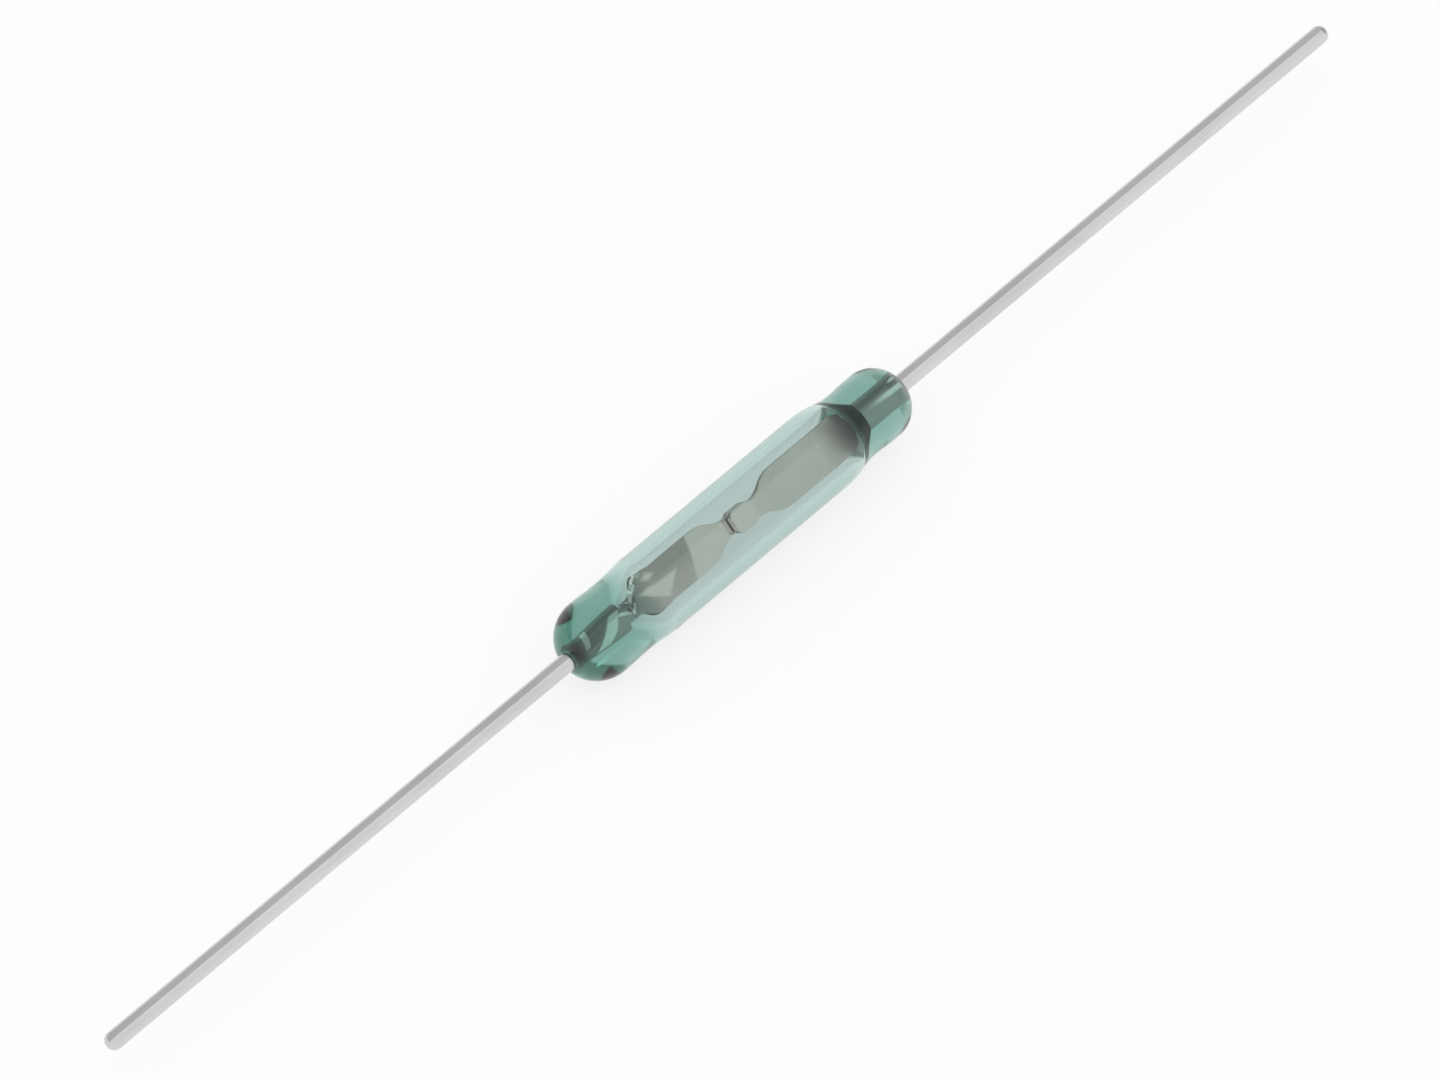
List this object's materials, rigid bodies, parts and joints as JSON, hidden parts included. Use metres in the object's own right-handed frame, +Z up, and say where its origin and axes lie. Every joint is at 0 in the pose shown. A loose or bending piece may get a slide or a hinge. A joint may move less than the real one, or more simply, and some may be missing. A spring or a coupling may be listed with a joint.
{
  "type": "glass reed switch",
  "caption": "Slim sealed glass tube with a wire lead from each end and flat magnetic reeds inside, whose overlapping ends close together when a magnet comes near.",
  "frame": {"origin": "middle of the glass, on the axis of the leads", "axes": "+X along the leads towards the slimmer end of the glass, +Z up as it lies in the picture; the flat blades face halfway between +Z and -Y"},
  "size_m": [0.037, 0.0018, 0.0018],
  "materials": {
    "green_glass": "clear green glass, smooth as drawn, with melted round ends",
    "lead_wire": "bright plated nickel-iron wire with faint drawing lines",
    "reed_blade": "pressed nickel-iron, satin, with plated contact ends"
  },
  "bodies": {
    "capsule": {"glass_envelope": "green_glass", "left_lead": "lead_wire", "right_lead": "lead_wire"},
    "left_blade": {"left_reed": "reed_blade"},
    "right_blade": {"right_reed": "reed_blade"}
  },
  "joints": [
    {"name": "left_reed_flex", "type": "hinge", "parent": "capsule", "child": "left_blade", "pos_m": [-0.0034, 0, 0], "axis": [0, -0.7071, -0.7071], "range_deg": [0, 0.405], "stiffness_Nm_per_rad": 0.0005},
    {"name": "right_reed_flex", "type": "hinge", "parent": "capsule", "child": "right_blade", "pos_m": [0.0036, 0, 0], "axis": [0, -0.7071, -0.7071], "range_deg": [0, 0.405], "stiffness_Nm_per_rad": 0.0005}
  ],
  "couplings": [
    {"joint": "right_reed_flex", "follows": "left_reed_flex", "ratio": 1}
  ]
}
